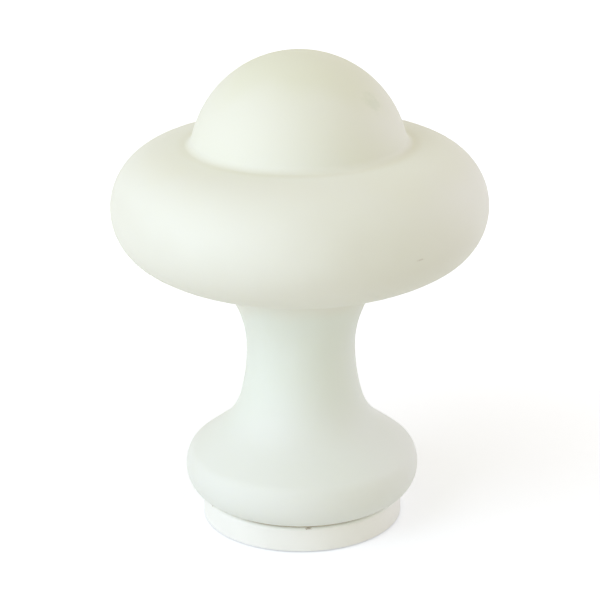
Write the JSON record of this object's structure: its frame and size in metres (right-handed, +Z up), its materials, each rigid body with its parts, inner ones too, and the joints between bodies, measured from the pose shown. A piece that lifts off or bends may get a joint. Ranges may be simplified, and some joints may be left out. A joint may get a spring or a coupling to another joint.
{
  "type": "mushroom table lamp",
  "caption": "Mushroom table lamp: a domed opal glass body with a thick cap ring, waisted stem and rounded foot, standing on a low round white base.",
  "frame": {"origin": "centre of the lamp's underside, on the table", "axes": "+Z up along the lamp's axis, +Y to the back, where the cord inlet is, and +X to the right as seen from the front"},
  "size_m": [0.2737, 0.2738, 0.3558],
  "materials": {
    "opal_glass": "acid-etched satin opal glass",
    "white_lacquer": "matte white lacquer",
    "zinc_steel": "zinc plated",
    "rubber_white": "translucent white silicone",
    "rubber_dark": "matte",
    "white_plastic": "satin moulded",
    "porcelain": "glazed",
    "brass": "plain",
    "lead_brown": "extruded",
    "lead_blue": "extruded",
    "bulb_frosted": "frosted",
    "clear_glass": "clear",
    "aluminium": "pressed",
    "black_glass": "glossy",
    "tungsten": "drawn"
  },
  "bodies": {
    "base": {"shade_gasket": "rubber_white", "base_pan": "white_lacquer", "bottom_cover": "zinc_steel", "cover_posts": "zinc_steel", "cover_screws": "zinc_steel", "foot_ring": "rubber_dark", "cord_grommet": "rubber_white", "terminal_block": "white_plastic", "terminal_tubes": "brass", "terminal_screws": "zinc_steel", "terminal_block_screw": "zinc_steel", "live_lead": "lead_brown", "neutral_lead": "lead_blue", "support_tube": "zinc_steel", "tube_washers": "zinc_steel", "tube_nut_upper": "zinc_steel", "tube_nut_lower": "zinc_steel", "lampholder_lock_nut": "zinc_steel", "lampholder_cap": "white_plastic", "lampholder_shell": "white_plastic", "lampholder_insert": "porcelain", "lampholder_screw_shell": "brass", "lampholder_centre_contact": "brass", "lampholder_terminals": "brass"},
    "shade": {"glass_shade": "opal_glass"},
    "bulb": {"bulb_glass": "bulb_frosted", "bulb_screw_cap": "aluminium", "bulb_insulator": "black_glass", "bulb_tip_contact": "aluminium", "bulb_stem": "clear_glass", "bulb_wires": "tungsten", "bulb_filament": "tungsten"}
  },
  "joints": [
    {"name": "shade_lift", "type": "slide", "parent": "base", "child": "shade", "axis": [0, 0, 1], "range_m": [0, 0.24]},
    {"name": "bulb_unscrew", "type": "slide", "parent": "base", "child": "bulb", "axis": [0, 0, 1], "range_m": [0, 0.03]}
  ]
}
